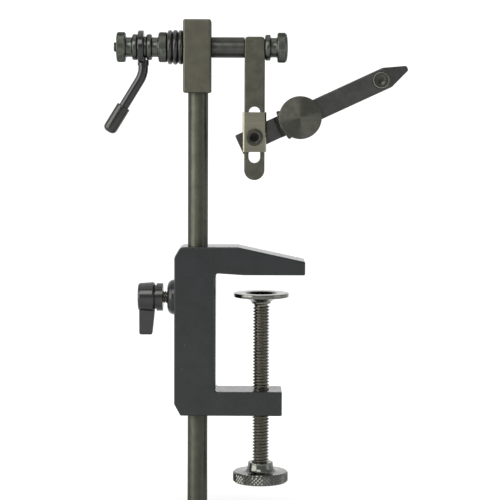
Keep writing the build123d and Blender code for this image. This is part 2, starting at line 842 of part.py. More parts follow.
def make_jaw_adjust_screw():
    """Socket screw that holds the jaws together near the tip."""
    seat = jaw_outer - adjust_recess_depth + adjust_seat_gap
    head_top = seat + adjust_head_height
    head = jaw_bar(adjust_head_diameter / 2, adjust_reach, seat, head_top)
    head = chamfer(head.faces().sort_by(Axis.Z)[-1].edges(), adjust_head_chamfer)
    shank = jaw_bar(adjust_shank_diameter / 2, adjust_reach, -jaw_outer, seat)
    socket = Pos(adjust_reach, -jaw_pivot_offset) * hexagon(adjust_socket_flats)
    screw = head + shank - slab_xy(socket, head_top - adjust_socket_depth, head_top + cut_overrun)
    return jaw_frame.location * screw


def make_jaw_ring():
    """Rubber ring stretched round both jaws."""
    section = jaw_ring_section / 2
    half_width = jaw_width / 2 + jaw_ring_gap + section
    half_depth = jaw_outer + jaw_ring_gap + section
    across = Plane(origin=(jaw_ring_reach, -jaw_pivot_offset, 0), x_dir=(0, 1, 0), z_dir=(1, 0, 0))
    loop = across * RectangleRounded(2 * half_width, 2 * half_depth, jaw_ring_bend_radius + section)
    path = loop.wire()
    start = Plane(origin=path @ 0, z_dir=path % 0)
    ring = sweep(start * Circle(section), path)
    return jaw_frame.location * ring


nodes = {
    "clamp_body": make_clamp_body(),
    "clamp_screw": make_clamp_screw(),
    "clamp_pad": make_clamp_pad(),
    "clamp_thumbwheel": make_clamp_thumbwheel(),
    "stem_lock_screw": make_stem_lock_screw(),
    "stem_lock_knob": make_stem_lock_knob(),
    "stem": make_stem(),
    "head_block": make_head_block(),
    "shaft_bush": make_shaft_bush(),
    "rotary_shaft": make_rotary_shaft(),
    "brake_ring_inner": make_brake_ring(0),
    "brake_ring_middle": make_brake_ring(1),
    "brake_ring_outer": make_brake_ring(2),
    "drag_knob": make_drag_knob(),
    "crank_washer": make_crank_washer(),
    "crank_arm": make_crank_arm(),
    "crank_grip": make_crank_grip(),
    "crank_lock_knob": make_crank_lock_knob(),
    "swing_arm": make_swing_arm(),
    "arm_lock_knob": make_arm_lock_knob(),
    "slide_bracket": make_slide_bracket(),
    "jaw_clamp_screw": make_jaw_clamp_screw(),
    "rear_jaw": make_rear_jaw(),
    "front_jaw": make_front_jaw(),
    "jaw_knob": make_jaw_knob(),
    "jaw_adjust_screw": make_jaw_adjust_screw(),
    "jaw_ring": make_jaw_ring(),
}

os.makedirs("parts", exist_ok=True)
for name, solid in nodes.items():
    export_step(solid, f"parts/{name}.step")
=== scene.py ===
"""Looks of a clamp-on rotary fly tying vise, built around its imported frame, in metres."""

import json
from math import cos, pi, radians, sin

import bmesh
import bpy
import numpy as np
from mathutils import Matrix, Vector


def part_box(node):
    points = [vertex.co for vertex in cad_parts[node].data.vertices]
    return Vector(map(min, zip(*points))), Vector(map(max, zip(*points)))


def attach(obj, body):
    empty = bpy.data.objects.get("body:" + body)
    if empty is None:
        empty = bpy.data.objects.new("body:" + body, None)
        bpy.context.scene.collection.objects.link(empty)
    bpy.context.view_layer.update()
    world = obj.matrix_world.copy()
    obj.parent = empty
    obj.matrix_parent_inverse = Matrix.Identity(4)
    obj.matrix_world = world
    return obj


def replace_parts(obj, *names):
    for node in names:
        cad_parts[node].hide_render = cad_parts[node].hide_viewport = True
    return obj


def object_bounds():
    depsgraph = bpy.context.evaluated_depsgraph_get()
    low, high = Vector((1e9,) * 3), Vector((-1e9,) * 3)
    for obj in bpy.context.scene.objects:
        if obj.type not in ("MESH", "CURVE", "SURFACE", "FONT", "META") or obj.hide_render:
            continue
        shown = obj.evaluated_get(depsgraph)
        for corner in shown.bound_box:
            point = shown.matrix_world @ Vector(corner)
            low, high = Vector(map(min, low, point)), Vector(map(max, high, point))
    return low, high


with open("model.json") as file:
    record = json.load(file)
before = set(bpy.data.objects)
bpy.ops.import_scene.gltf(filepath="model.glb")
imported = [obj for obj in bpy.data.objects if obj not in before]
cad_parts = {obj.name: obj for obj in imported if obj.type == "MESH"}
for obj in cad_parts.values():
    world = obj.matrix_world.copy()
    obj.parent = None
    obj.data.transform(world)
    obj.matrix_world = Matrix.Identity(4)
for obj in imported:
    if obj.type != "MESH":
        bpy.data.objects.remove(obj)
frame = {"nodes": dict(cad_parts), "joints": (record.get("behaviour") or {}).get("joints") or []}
cad_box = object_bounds()
nodes = frame["nodes"]
joints = {joint["name"]: joint for joint in frame["joints"]}
mm = 0.001

# The most of a side that the rounding of a corner takes up
corner_share = 0.48

# Knurls and threads, in millimetres like all sizes down to the camera's
knurl_pitch = 0.8
knurl_depth = 0.18
wheel_knurl_pitch = 1.8
wheel_knurl_depth = 0.34
stud_pitch = 0.8
stud_depth = 0.46
lock_pitch = 1.0
lock_depth = 0.6
screw_pitch = 1.5
screw_depth = 0.9
thread_crest_share = 0.12
thread_flank_share = 0.38

# Knurled knobs, from the bearing flange to the disc
knob_bore = 2.55
knob_bore_chamfer = 0.35
knob_flange = 6.1
knob_flange_length = 2.6
knob_flange_round = 1.1
knob_neck = 4.6
knob_neck_round = 1.3
knob_neck_length = 3.2
knob_disc = 7.1
knob_disc_length = 4.1
knob_disc_foot = knob_flange_length + knob_neck_length
knob_disc_top = knob_disc_foot + knob_disc_length
knob_edge = 0.6
knob_dome = 0.95
knob_dome_wall = 1.5
knob_dome_steps = 10
knob_spigot = 5.45
knob_spigot_edge = 0.3

# Rotary shaft
journal_radius = 4.0
collar_radius = 4.85
stud_radius = 2.5
collar_edge = 0.4
collar_gap = 0.02
shaft_segments = 48

# Brake rings and jaw ring
ring_squeeze_share = 0.97
ring_bulges = {"brake_ring_inner": 0.0, "brake_ring_middle": 0.14, "brake_ring_outer": 0.0}
jaw_ring_reach = 15.1
jaw_ring_bend = 1.3
jaw_ring_section = 1.05
jaw_ring_gap = 0.1
jaw_ring_thin_share = 0.95
jaw_ring_run_shares = (0.25, 0.5, 0.75)
jaw_ring_bend_steps = 8
jaw_ring_section_steps = 16
brake_ring_segments = 96
brake_ring_section_steps = 20

# Clamp pad and thumbwheel
pad_neck = 4.5
pad_rim_thickness = 1.9
pad_web = 1.6
pad_dish = 5.8
pad_dish_flare = 7.5
pad_dish_round = 0.8
pad_under_round = 0.4
pad_top_round = 0.3
pad_trumpet_steps = 14
pad_segments = 128
spigot_radius = 2.5
spigot_gap = 0.05
rivet_radius = 4.0
rivet_height = 1.1
rivet_round = 0.8
rivet_gap = 0.05
wheel_thickness = 5.0
wheel_edge = 0.7
wheel_hub_top = 6.0
wheel_hub_foot = 8.2
wheel_hub_round = 0.4
wheel_flare_steps = 12
wheel_bore_gap = 0.02
wheel_bore_round = 0.3
wheel_floor = 1.6

# Jaws
jaw_width = 10.0
jaw_knob_reach = 23.3

# Jaw knob, from the screw's end to the coned face
disc_edge = 0.5
disc_cone = 0.7
disc_land = 0.4
disc_land_rise = 0.06
disc_thickness = 4.2
hub_radius = 4.8
hub_height = 2.4
hub_edge = 0.3
jaw_screw_radius = 2.5

# Socket screws
head_segments = 96
head_foot_edge = 0.15
head_knurl_depth = 0.12
head_knurl_foot = 0.35
head_knurl_drop = 0.45
head_band = 0.1
head_band_drop = 0.3
socket_mouth_share = 1.3
socket_mouth_depth = 0.2
socket_point_depth = 0.5
socket_shade_fade_share = 1.2
cap_head = 4.0
cap_head_height = 4.0
cap_socket = 2.0
cap_socket_depth = 2.4
cap_edge = 0.3
cap_shank = 2.5
cap_turn = 0.3
adjust_head = 3.95
adjust_head_height = 2.8
adjust_socket = 1.5
adjust_socket_depth = 1.6
adjust_edge = 0.12
adjust_shank = 2.0
adjust_turn = 0.1
# Radius past which the adjust screw's head gets a painted highlight ring
adjust_highlight_radius = 3.4
highlight_fade = 0.15
adjust_pitch = 0.7
adjust_thread_depth = 0.4

# Crank grip
grip_radius = 3.35
grip_length = 14.1
grip_wall = 2.9
grip_bore = 2.37
grip_round = 2.4
grip_lip = 0.4
grip_lip_round = 0.6
grip_round_steps = 10
grip_segments = 64
grip_slope = 31.5

# Camera and stage, in metres
camera_target = Vector((-5.43, 0, 11.19)) * mm
camera_distance = 0.85
camera_pitch = radians(4.5)
camera_roll = radians(0.25)
camera_lens = 128.8
floor_reach = 12.0
floor_drop = 0.0004
backdrop_place = 1.8
backdrop_height = 3.0
room_level = 0.55
sweep_grey = 0.35
# The floor's glow is lower round the stem's foot: painted shade there
painted_shade_start = 0.03
painted_shade_end = 0.16
painted_shade_glow = 0.55
glow_far = 0.95

# Lamps: place, side, power and colour
lamp_aim = Vector((0, 0, 0.03))
lamps = {
    "key": ((-0.92, -0.52, 0.3), 0.9, 11.5, (1.0, 0.98, 0.94)),
    "front": ((-0.22, -0.7, 0.62), 0.45, 3.2, (1.0, 1.0, 0.98)),
    "fill": ((1.0, -0.36, 0.12), 0.6, 1.5, (0.85, 0.93, 1.0)),
    "top": ((0.0, 0.1, 1.0), 0.8, 2.0, (1.0, 1.0, 1.0)),
}


# Mesh helpers

def soften(points, steps=4):
    """Points of radius and height, with the corners that give a third number rounded by it."""
    out = []
    for index, (radius, height, *bend) in enumerate(points):
        here = Vector((radius, height))
        if not bend:
            out.append(tuple(here))
            continue
        before = Vector(points[index - 1][:2]) - here
        after = Vector(points[(index + 1) % len(points)][:2]) - here
        reach = min(bend[0], corner_share * before.length, corner_share * after.length)
        start = here + before.normalized() * reach
        end = here + after.normalized() * reach
        for step in range(steps + 1):
            t = step / steps
            out.append(tuple(start.lerp(here, t).lerp(here.lerp(end, t), t)))
    return out


def rings_of(points):
    """Rings of height and radius from points of radius and height."""
    return [(height, radius) for radius, height in points]


def teeth(radius, depth, segments, row=0):
    """Radii that step between a ridge and a groove, one row shifted against the next."""
    return np.where((np.arange(segments) + row) % 2 == 0, radius, radius - depth)


def knurl_rings(radius, low, high, segments, pitch=knurl_pitch, depth=knurl_depth):
    """Rows of a diamond knurl: points and grooves alternate round each row and between rows."""
    rows = max(2, round((high - low) / pitch * 2))
    heights = np.linspace(low, high, rows + 1)
    return [
        (height, teeth(radius, depth, segments, row)) for row, height in enumerate(heights)
    ]


def knurl_segments(radius, pitch=knurl_pitch):
    """An even number of steps round a rim, two for each knurl point."""
    return 2 * round(2 * pi * radius / pitch)


def hex_radii(apothem, segments):
    """Radii of a hexagon with the given distance to its flats."""
    angles = np.arange(segments) * 2 * pi / segments
    return apothem / np.cos((angles + pi / 6) % (pi / 3) - pi / 6)


def ring_grid(rings, segments, closed=False):
    """Vertices and faces through rings about local Z, in millimetres; zero radii make a pole."""
    angles = np.arange(segments) * 2 * pi / segments
    verts, rows, sizes = [], [], []
    for height, radii in rings:
        radii = np.broadcast_to(np.asarray(radii, float), segments)
        sizes.append(radii)
        first = len(verts)
        if radii.max() == 0:
            rows.append([first] * segments)
            verts.append((0, 0, height))
        else:
            rows.append(range(first, first + segments))
            verts += [(r * cos(a), r * sin(a), height) for r, a in zip(radii, angles)]
    faces = []
    count = len(rows)
    for low in range(count if closed else count - 1):
        high = (low + 1) % count
        for k in range(segments):
            n = (k + 1) % segments
            a, b, c, d = rows[low][k], rows[low][n], rows[high][n], rows[high][k]
            lean = sizes[low][k] + sizes[high][n] - sizes[low][n] - sizes[high][k]
            if abs(lean) < 1e-6:
                faces.append(tuple(dict.fromkeys((a, b, c, d))))
            elif lean > 0:
                faces += [(a, b, d), (b, c, d)]
            else:
                faces += [(a, b, c), (a, c, d)]
    return verts, [face for face in faces if len(set(face)) > 2]


def thread_grid(radius, depth, pitch, low, high, segments):
    """Vertices and faces of a helical thread about local Z, run out to its root at both ends."""
    root = radius - depth
    crest, flank = thread_crest_share, thread_flank_share
    steps = [(0, radius), (crest, radius), (crest + flank, root), (1 - flank, root)]
    turns = int((high - low) / pitch) + 2
    rows = [(turn + share, r) for turn in range(-1, turns) for share, r in steps]
    verts = []
    for place, r in rows:
        for k in range(segments):
            height = min(max(low + pitch * (place + k / segments), low), high)
            fade = min(1, (height - low) / pitch, (high - height) / pitch)
            size = root + (r - root) * fade
            angle = 2 * pi * k / segments
            verts.append((size * cos(angle), size * sin(angle), height))
    faces = []
    per_turn = len(steps)
    for row in range(len(rows) - per_turn - 1):
        for k in range(segments):
            n = (k + 1) % segments
            ahead = row + per_turn if n == 0 else row
            faces.append(
                (
                    row * segments + k,
                    ahead * segments + n,
                    (ahead + 1) * segments + n,
                    (row + 1) * segments + k,
                )
            )
    return verts, faces


def add_piece(name, grids, placing, body, material, smooth=32):
    """A closed mesh from grids that share their meeting rings, riding on a body."""
    work = bmesh.new()
    for verts, faces in grids:
        made = [work.verts.new(Vector(v) * mm) for v in verts]
        for face in faces:
            work.faces.new([made[i] for i in face])
    bmesh.ops.remove_doubles(work, verts=work.verts, dist=1e-7)
    bmesh.ops.recalc_face_normals(work, faces=work.faces)
    mesh = bpy.data.meshes.new(name)
    work.to_mesh(mesh)
    work.free()
    mesh.polygons.foreach_set("use_smooth", [True] * len(mesh.polygons))
    mesh.set_sharp_from_angle(angle=radians(smooth))
    mesh.materials.append(material)
    piece = bpy.data.objects.new(name, mesh)
    bpy.context.scene.collection.objects.link(piece)
    piece.matrix_world = placing
    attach(piece, body)
    return piece


def along_x(x, z, forward=True):
    """Placing whose local Z runs along X, from a point on the plane of symmetry."""
    turn = Matrix.Rotation(radians(90 if forward else -90), 4, "Y")
    return Matrix.Translation((x, 0, z)) @ turn


def upright(x, z):
    """Placing whose local Z is up."""
    return Matrix.Translation((x, 0, z))


def outward(x, y, z, turn=0):
    """Placing whose local Z faces the front, turned about it."""
    face = Matrix.Rotation(radians(90), 4, "X")
    return Matrix.Translation((x, y, z)) @ face @ Matrix.Rotation(turn, 4, "Z")


# Material helpers

def linear(*channels):
    """A colour given as it looks on screen, 0 to 255, for a shader socket."""
    levels = [c / 255 for c in channels]
    curve = [((v + 0.055) / 1.055) ** 2.4 if v > 0.04045 else v / 12.92 for v in levels]
    return (*curve, 1)


class Look:
    """A material with a shader and the few textures that vary it."""

    def __init__(self, name, roughness, **sockets):
        self.material = bpy.data.materials.new(name)
        self.material.use_nodes = True
        self.tree = self.material.node_tree
        self.shader = self.tree.nodes["Principled BSDF"]
        self.shader.inputs["Roughness"].default_value = roughness
        for socket, value in sockets.items():
            self.shader.inputs[socket.replace("_", " ")].default_value = value
        self.place = self.add("ShaderNodeTexCoord").outputs["Object"]
        self.tint = None
        self.bumped = None

    def add(self, kind, **settings):
        node = self.tree.nodes.new(kind)
        for setting, value in settings.items():
            setattr(node, setting, value)
        return node

    def link(self, source, target):
        self.tree.links.new(source, target)

    def noise(self, scale, stretch=(1, 1, 1), detail=4.0):
        """Noise with the given number of features per metre along each axis."""
        mapping = self.add("ShaderNodeMapping")
        mapping.inputs["Scale"].default_value = [scale * s for s in stretch]
        texture = self.add("ShaderNodeTexNoise")
        texture.inputs["Scale"].default_value = 1.0
        texture.inputs["Detail"].default_value = detail
        self.link(self.place, mapping.inputs["Vector"])
        self.link(mapping.outputs["Vector"], texture.inputs["Vector"])
        return texture.outputs["Fac"]

    def ramp(self, factor, low, high, ends):
        """A smooth change between two colours while the factor goes from low to high."""
        ramp = self.add("ShaderNodeValToRGB")
        ramp.color_ramp.elements[0].position = low
        ramp.color_ramp.elements[1].position = high
        for element, colour in zip(ramp.color_ramp.elements, ends):
            element.color = colour
        self.link(factor, ramp.inputs["Fac"])
        return ramp.outputs["Color"]

    def colours(self, factor, dark, light, low=0.35, high=0.65):
        self.tint = self.ramp(factor, low, high, (dark, light))
        self.link(self.tint, self.shader.inputs["Base Color"])

    def spread(self, factor, start, end, low=0.0, high=1.0):
        """A number that goes from low to high while the factor goes from start to end."""
        spread = self.add("ShaderNodeMapRange")
        limits = {"From Min": start, "From Max": end, "To Min": low, "To Max": high}
        for socket, value in limits.items():
            spread.inputs[socket].default_value = value
        self.link(factor, spread.inputs["Value"])
        return spread.outputs["Result"]

    def specks(self, factor, colour, low, high):
        """Another colour where the factor is past a threshold."""
        mix = self.add("ShaderNodeMix", data_type="RGBA")
        self.link(self.spread(factor, low, high), mix.inputs["Factor"])
        self.link(self.tint, mix.inputs["A"])
        mix.inputs["B"].default_value = colour
        self.tint = mix.outputs["Result"]
        self.link(self.tint, self.shader.inputs["Base Color"])

    def vary_roughness(self, factor, low, high):
        """Roughness from low to high over the middle of a noise."""
        self.link(self.spread(factor, 0.3, 0.7, low, high), self.shader.inputs["Roughness"])

    def bump(self, factor, height_mm, strength=1.0):
        """Fine relief on top of any relief already there."""
        bump = self.add("ShaderNodeBump")
        bump.inputs["Strength"].default_value = strength
        bump.inputs["Distance"].default_value = height_mm * mm
        self.link(factor, bump.inputs["Height"])
        if self.bumped:
            self.link(self.bumped, bump.inputs["Normal"])
        self.bumped = bump.outputs["Normal"]
        self.link(self.bumped, self.shader.inputs["Normal"])

    def ease(self, radius_mm):
        """Light caught on edges that are a little rounded."""
        edge = self.add("ShaderNodeBevel", samples=8)
        edge.inputs["Radius"].default_value = radius_mm * mm
        self.bumped = edge.outputs["Normal"]
        self.link(self.bumped, self.shader.inputs["Normal"])

    def radius(self):
        """Distance from local Z, in metres."""
        flat = self.add("ShaderNodeVectorMath", operation="MULTIPLY")
        flat.inputs[1].default_value = (1, 1, 0)
        length = self.add("ShaderNodeVectorMath", operation="LENGTH")
        self.link(self.place, flat.inputs[0])
        self.link(flat.outputs["Vector"], length.inputs[0])
        return length.outputs["Value"]

    def turned(self, anisotropy, axis="Z"):
        """Highlights drawn out across turning marks about a local axis."""
        tangent = self.add("ShaderNodeTangent", direction_type="RADIAL", axis=axis)
        self.shader.inputs["Anisotropic"].default_value = anisotropy
        self.link(tangent.outputs["Tangent"], self.shader.inputs["Tangent"])


# Materials

dull_edge = (0.68, 0.68, 0.7, 1)
across_grain = {"Anisotropic_Rotation": 0.25}
upright_grain = (1, 1, 0.04)


def casting_paint():
    """Satin paint over a sand casting, with fine peel and a few pale chips."""
    gloss = dict(Specular_IOR_Level=0.18, Coat_Weight=0.4, Coat_Roughness=0.12)
    look = Look("casting_paint", 0.3, **gloss)
    look.colours(look.noise(120), linear(20, 25, 25), linear(27, 32, 32))
    look.specks(look.noise(900, detail=2), linear(150, 148, 140), 0.76, 0.79)
    look.ease(0.8)
    look.vary_roughness(look.noise(400), 0.24, 0.36)
    look.bump(look.noise(260), 0.05)
    look.bump(look.noise(2400, detail=2), 0.012)
    return look.material


def gloss_black():
    """Gloss enamel with a faint waviness."""
    look = Look("gloss_black", 0.12)
    look.colours(look.noise(200), linear(11, 12, 13), linear(17, 18, 19))
    look.vary_roughness(look.noise(700), 0.09, 0.18)
    look.bump(look.noise(350), 0.012)
    return look.material


def steel(name, dark, light, roughness, grain=(1, 1, 1), axis=None):
    """Blackened steel with a grain along the stretched axis, or ground round an axis."""
    look = Look(name, roughness, Metallic=1.0, Specular_Tint=dull_edge, **across_grain)
    if axis:
        look.turned(0.7, axis)
    else:
        look.ease(0.3)
    look.colours(look.noise(260), dark, light)
    look.specks(look.noise(1500, detail=2), linear(46, 45, 42), 0.68, 0.74)
    look.vary_roughness(look.noise(900, grain), roughness - 0.06, roughness + 0.06)
    look.bump(look.noise(5000, grain, detail=2), 0.004)
    return look.material


def head_alloy():
    """Fine matt anodised block."""
    look = Look("head_alloy", 0.48, Metallic=1.0, Specular_Tint=dull_edge)
    look.colours(look.noise(300), linear(80, 79, 70), linear(87, 86, 76))
    look.vary_roughness(look.noise(1500), 0.44, 0.54)
    look.bump(look.noise(6000, detail=2), 0.006)
    return look.material


def knob_alloy():
    """Black anodised alloy, with tone and roughness that vary at random."""
    look = Look("knob_alloy", 0.3, Metallic=1.0, Specular_Tint=dull_edge)
    look.colours(look.noise(500), linear(68, 71, 66), linear(80, 83, 77))
    look.vary_roughness(look.noise(1200), 0.24, 0.36)
    look.bump(look.noise(3000, (0.2, 0.2, 1), detail=2), 0.004)
    return look.material


def bare_steel():
    """Bright sheet steel with a faint grain across."""
    look = Look("bare_steel", 0.3, Metallic=1.0)
    look.colours(look.noise(500, (0.06, 1, 1)), linear(121, 119, 104), linear(132, 130, 114))
    look.vary_roughness(look.noise(1500, (0.05, 1, 1)), 0.18, 0.28)
    look.bump(look.noise(3000, (0.04, 1, 1), detail=2), 0.004)
    return look.material


def turned_steel():
    """Blackened steel with the marks of a facing cut."""
    look = Look("turned_steel", 0.5, Metallic=1.0, Specular_Tint=dull_edge, **across_grain)
    look.colours(look.noise(600), linear(80, 80, 74), linear(87, 87, 81))
    look.turned(0.98)
    return look.material


def screw_steel():
    """Blackened, oiled screw thread."""
    look = Look("screw_steel", 0.3, Metallic=1.0)
    look.colours(look.noise(800), linear(100, 98, 90), linear(120, 118, 108))
    look.vary_roughness(look.noise(1500), 0.24, 0.36)
    look.bump(look.noise(4000, detail=2), 0.006)
    return look.material


def socket_black(name, socket, dark, highlight_radius=None):
    """Black oxide, with painted shade inside the socket, and a painted highlight as a pale ring
    past a given radius where one is given.
    """
    look = Look(name, 0.32, Metallic=1.0, Specular_Tint=dull_edge)
    look.colours(look.noise(700), linear(64, 64, 59), linear(74, 74, 68))
    # Painted shade: the inside of the socket gets the given dark colour
    look.specks(look.radius(), dark, socket * socket_shade_fade_share * mm, socket * mm)
    # Painted highlight: a pale ring on the head past the given radius
    if highlight_radius:
        rim = linear(138, 138, 133)
        look.specks(look.radius(), rim, highlight_radius * mm, (highlight_radius + highlight_fade) * mm)
    look.vary_roughness(look.noise(1400), 0.26, 0.38)
    look.bump(look.noise(3000, detail=2), 0.004)
    return look.material


def oiled_black():
    """Blackened and oiled steel, darker in its fine marks."""
    look = Look("oiled_black", 0.18, Metallic=1.0)
    look.colours(look.noise(700), linear(86, 87, 83), linear(100, 101, 96))
    look.vary_roughness(look.noise(1400), 0.14, 0.22)
    look.bump(look.noise(2500, detail=2), 0.005)
    return look.material


def grip_plastic():
    """Glossy dipped sleeve."""
    look = Look("grip_plastic", 0.14, Specular_IOR_Level=0.45)
    look.colours(look.noise(300), linear(24, 24, 22), linear(32, 32, 29))
    look.vary_roughness(look.noise(900), 0.1, 0.2)
    look.bump(look.noise(500), 0.015)
    return look.material


def lock_plastic():
    """Black moulded plastic with a fine spark texture."""
    look = Look("lock_plastic", 0.2)
    look.colours(look.noise(400), linear(20, 20, 20), linear(26, 26, 26))
    look.vary_roughness(look.noise(2000), 0.16, 0.25)
    look.bump(look.noise(2500, detail=2), 0.005)
    return look.material


def ring_rubber():
    """Satin rubber, a little dusty."""
    look = Look("ring_rubber", 0.26)
    look.colours(look.noise(900), linear(20, 20, 19), linear(28, 28, 26))
    look.vary_roughness(look.noise(1500), 0.22, 0.34)
    look.bump(look.noise(3500, detail=2), 0.008)
    return look.material


def bush_bronze():
    """Plain bearing bronze, oiled."""
    look = Look("bush_bronze", 0.35, Metallic=1.0)
    look.colours(look.noise(900), linear(150, 110, 58), linear(172, 128, 70))
    look.bump(look.noise(3000, (0.1, 1, 1), detail=2), 0.004)
    return look.material


looks = {
    "casting_paint": casting_paint(),
    "gloss_black": gloss_black(),
    "screw_steel": screw_steel(),
    "oiled_black": oiled_black(),
    # The dark colour given to each socket screw is painted shade inside its socket
    "cap_black": socket_black("cap_black", cap_socket, linear(32, 32, 30)),
    # The adjust screw also gets a painted highlight ring past its last radius
    "adjust_black": socket_black(
        "adjust_black", adjust_socket, linear(60, 60, 56), adjust_highlight_radius
    ),
    "stem_steel": steel(
        "stem_steel", linear(71, 72, 64), linear(78, 79, 70), 0.46, upright_grain, axis="Z"
    ),
    "arm_steel": steel("arm_steel", linear(77, 77, 69), linear(86, 86, 77), 0.42),
    "jaw_steel": steel("jaw_steel", linear(71, 71, 69), linear(79, 79, 77), 0.36),
    "shaft_steel": steel(
        "shaft_steel", linear(64, 65, 61), linear(72, 73, 69), 0.44, axis="Z"
    ),
    "head_alloy": head_alloy(),
    "knob_alloy": knob_alloy(),
    "bare_steel": bare_steel(),
    "turned_steel": turned_steel(),
    "grip_plastic": grip_plastic(),
    "lock_plastic": lock_plastic(),
    "ring_rubber": ring_rubber(),
    "bush_bronze": bush_bronze(),
}


def dress(node, look):
    """Gives a carried-over solid its finished material."""
    nodes[node].data.materials.clear()
    nodes[node].data.materials.append(looks[look])


for node, look in {
    "clamp_body": "casting_paint",
    "stem_lock_knob": "lock_plastic",
    "stem": "stem_steel",
    "head_block": "head_alloy",
    "shaft_bush": "bush_bronze",
    "crank_washer": "jaw_steel",
    "crank_arm": "gloss_black",
    "swing_arm": "arm_steel",
    "slide_bracket": "bare_steel",
    "rear_jaw": "jaw_steel",
    "front_jaw": "jaw_steel",
}.items():
    dress(node, look)


def replace(node, grids, placing, body, slot, look=None, smooth=32):
    """A detailed piece that stands for a solid."""
    piece = add_piece(node + "_detail", grids, placing, body, looks[look or slot], smooth)
    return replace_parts(piece, node)


# Knurled knobs on the shaft

shaft_z = (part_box("rotary_shaft")[0].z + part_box("rotary_shaft")[1].z) / 2


def knob_rings(end):
    """Rings of a knob from its bore at the flange, over its disc, to the given end points."""
    start = soften(
        [
            (knob_bore, 0),
            (knob_flange, 0, knob_flange_round),
            (knob_flange, knob_flange_length, knob_flange_round),
            (knob_neck, knob_flange_length, knob_neck_round),
            (knob_neck, knob_disc_foot, knob_neck_round),
            (knob_disc - knob_edge, knob_disc_foot),
        ]
    )
    segments = knurl_segments(knob_disc)
    low, high = knob_disc_foot + knob_edge, knob_disc_top - knob_edge
    knurl = knurl_rings(knob_disc, low, high, segments)
    face = [(knob_disc - knob_edge, knob_disc_top)]
    return rings_of(start) + knurl + rings_of(face + end), segments


def make_knob(node, body, forward, end):
    """Knob with a through bore."""
    low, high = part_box(node)
    rings, segments = knob_rings(end)
    placing = along_x(low.x if forward else high.x, shaft_z, forward)
    replace(node, [ring_grid(rings, segments, True)], placing, body, "knob_alloy")


def spigot_end():
    """A spigot past the disc, up to the brake rings."""
    low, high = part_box("drag_knob")
    end = (high.x - low.x) / mm
    points = [
        (knob_disc - knob_edge, knob_disc_top),
        (knob_spigot, knob_disc_top),
        (knob_spigot, end, knob_spigot_edge),
        (knob_bore, end),
    ]
    return soften(points)[1:]


def plain_end():
    """A flat face with a chamfered bore."""
    return [
        (knob_bore + knob_bore_chamfer, knob_disc_top),
        (knob_bore, knob_disc_top - knob_bore_chamfer),
    ]


def domed_end():
    """A flat dome over the disc."""
    face = knob_disc - knob_edge
    angles = [pi / 2 * step / knob_dome_steps for step in range(1, knob_dome_steps)]
    return [(face * cos(angle), knob_disc_top + knob_dome * sin(angle)) for angle in angles]


def make_arm_knob():
    """Knob with a domed face over a blind bore."""
    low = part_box("arm_lock_knob")[0]
    rings, segments = knob_rings(domed_end())
    bore_end = knob_disc_top - knob_dome_wall
    rings = [(bore_end, 0), (bore_end, knob_bore)] + rings + [(knob_disc_top + knob_dome, 0)]
    placing = along_x(low.x, shaft_z)
    replace("arm_lock_knob", [ring_grid(rings, segments)], placing, "arm_nut", "knob_alloy")


make_knob("drag_knob", "drag", True, spigot_end())
make_knob("crank_lock_knob", "crank_nut", False, plain_end())
make_arm_knob()

# Rotary shaft with its threaded ends

def make_shaft():
    low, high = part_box("rotary_shaft")
    head_low, head_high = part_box("head_block")
    arm_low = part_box("swing_arm")[0]
    start = 0
    journal = (head_low.x - low.x) / mm
    collar = (head_high.x - low.x) / mm + collar_gap
    arm_face = (arm_low.x - low.x) / mm
    end = (high.x - low.x) / mm
    root = stud_radius - stud_depth
    middle = rings_of(
        soften(
            [
                (root, journal),
                (journal_radius, journal),
                (journal_radius, collar),
                (collar_radius, collar, collar_edge),
                (collar_radius, arm_face, collar_edge),
                (root, arm_face),
            ]
        )
    )
    grids = [
        ring_grid([(start, 0), (start, root)], shaft_segments),
        thread_grid(stud_radius, stud_depth, stud_pitch, start, journal, shaft_segments),
        ring_grid(middle, shaft_segments),
        thread_grid(stud_radius, stud_depth, stud_pitch, arm_face, end, shaft_segments),
        ring_grid([(end, root), (end, 0)], shaft_segments),
    ]
    replace("rotary_shaft", grids, along_x(low.x, shaft_z), "rotor", "dark_steel", "shaft_steel")


make_shaft()

# Rubber rings

def make_brake_ring(node):
    """Round ring, pressed a little flat against its neighbours and bulging to make up for it."""
    low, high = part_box(node)
    section = (high.x - low.x) / mm / 2
    centre = (high.y - low.y) / mm / 2 - section + ring_bulges[node]
    rings = []
    for step in range(brake_ring_section_steps):
        angle = 2 * pi * step / brake_ring_section_steps
        height = section * ring_squeeze_share * sin(angle)
        rings.append((height, centre + section * cos(angle)))
    grid = ring_grid(rings, brake_ring_segments, True)
    placing = along_x((low.x + high.x) / 2, shaft_z)
    replace(node, [grid], placing, "rotor", "ring_rubber")


for ring in ring_bulges:
    make_brake_ring(ring)

# Crank grip

def make_grip():
    """Dipped sleeve with a rolled lip and a round end, open to the rod."""
    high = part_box("crank_grip")[1]
    slope = radians(grip_slope)
    start_x = high.x - (grip_radius * cos(slope) - grip_lip * sin(slope)) * mm
    start_z = high.z - (grip_radius - grip_lip) * sin(slope) * mm
    end = []
    for step in range(grip_round_steps + 1):
        angle = pi / 2 * step / grip_round_steps
        end.append(
            (
                grip_radius - grip_round * (1 - cos(angle)),
                grip_length - grip_round * (1 - sin(angle)),
            )
        )
    bore_end = grip_length - grip_wall
    points = soften(
        [(grip_bore, 0), (grip_radius, 0, grip_lip_round)]
        + end
        + [(0, grip_length), (0, bore_end), (grip_bore, bore_end)]
    )
    grid = ring_grid(rings_of(points), grip_segments, True)
    placing = Matrix.Translation((start_x, 0, start_z)) @ Matrix.Rotation(pi + slope, 4, "Y")
    replace("crank_grip", [grid], placing, "crank", "grip_plastic", smooth=50)


make_grip()

# Jaw directions, from the knob's hinge and the pivot

